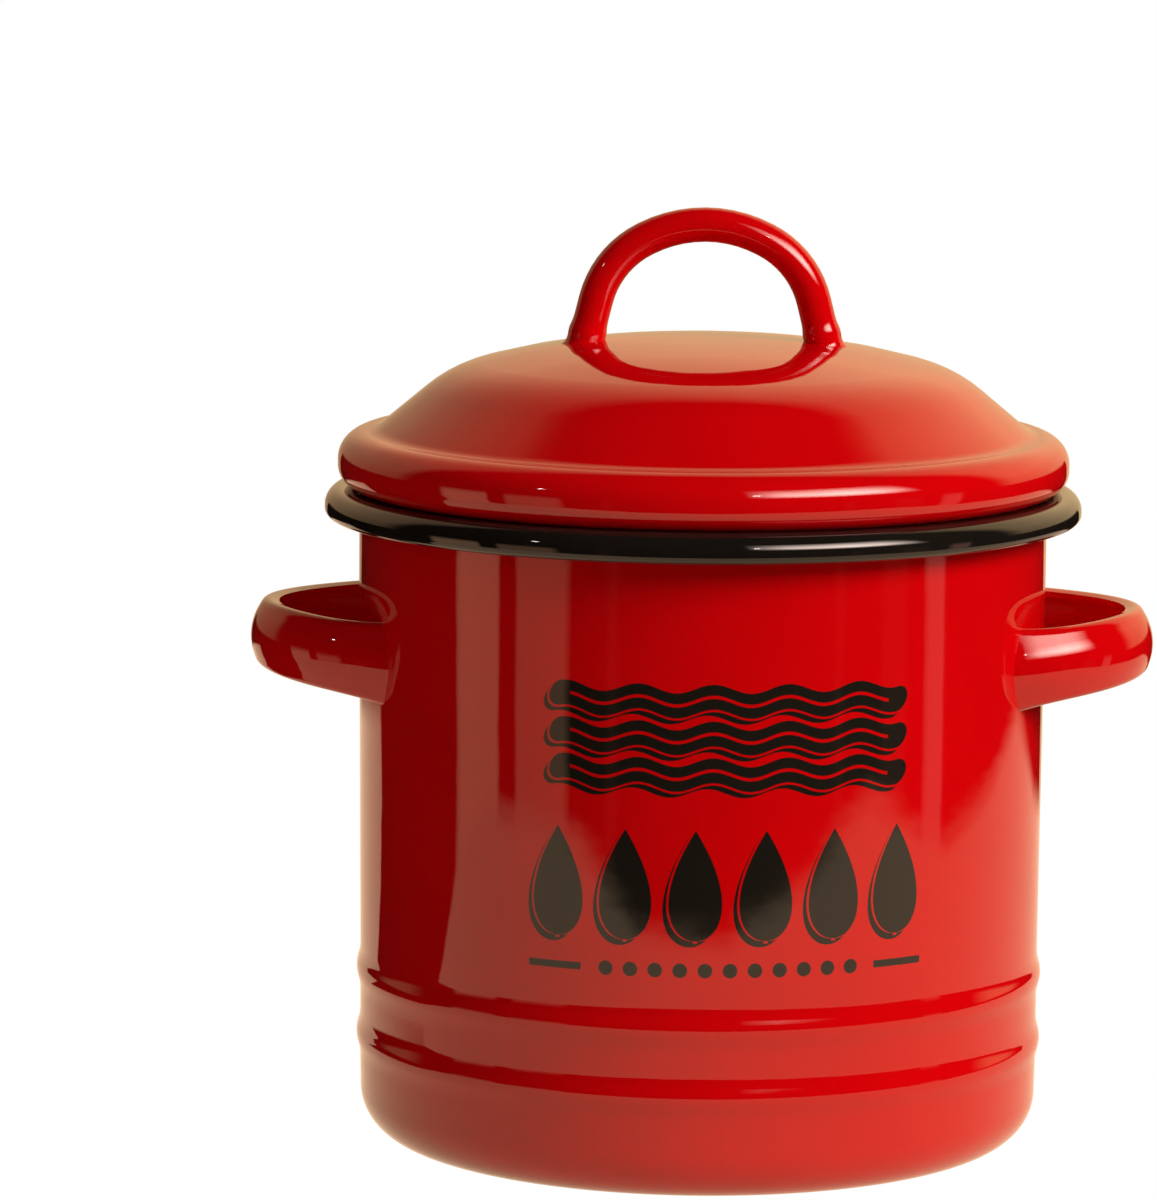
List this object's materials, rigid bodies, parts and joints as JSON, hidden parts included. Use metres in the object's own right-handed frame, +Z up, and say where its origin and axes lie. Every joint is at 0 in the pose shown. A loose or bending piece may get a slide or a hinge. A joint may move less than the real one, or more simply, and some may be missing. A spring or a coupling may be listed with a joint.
{
  "type": "grease keeper",
  "caption": "Round lidded enamelled steel keeper for cooking grease, with ribbed wall, rolled rim, side loops, arched lid handle and lift-out strainer.",
  "frame": {"origin": "centre of the pot's base, on the surface that it stands on", "axes": "+Z up along the pot's axis, the two side handles and the lid handle lie along X, front is -Y"},
  "size_m": [0.1644, 0.1376, 0.1706],
  "materials": {
    "red_enamel": "gloss vitreous enamel",
    "black_enamel": "gloss vitreous enamel",
    "stainless_steel": "satin",
    "steel_mesh": "fine woven wire"
  },
  "bodies": {
    "pot": {"pot_shell": "red_enamel", "rolled_rim": "black_enamel", "left_side_handle": "red_enamel", "right_side_handle": "red_enamel"},
    "strainer": {"strainer_collar": "stainless_steel", "strainer_mesh": "steel_mesh", "strainer_clamp_ring": "stainless_steel"},
    "lid": {"lid_shell": "red_enamel", "lid_handle": "red_enamel"}
  },
  "joints": [
    {"name": "strainer_lift", "type": "slide", "parent": "pot", "child": "strainer", "axis": [0, 0, 1], "range_m": [0, 0.08]},
    {"name": "lid_lift", "type": "slide", "parent": "strainer", "child": "lid", "axis": [0, 0, 1], "range_m": [0, 0.06]}
  ]
}
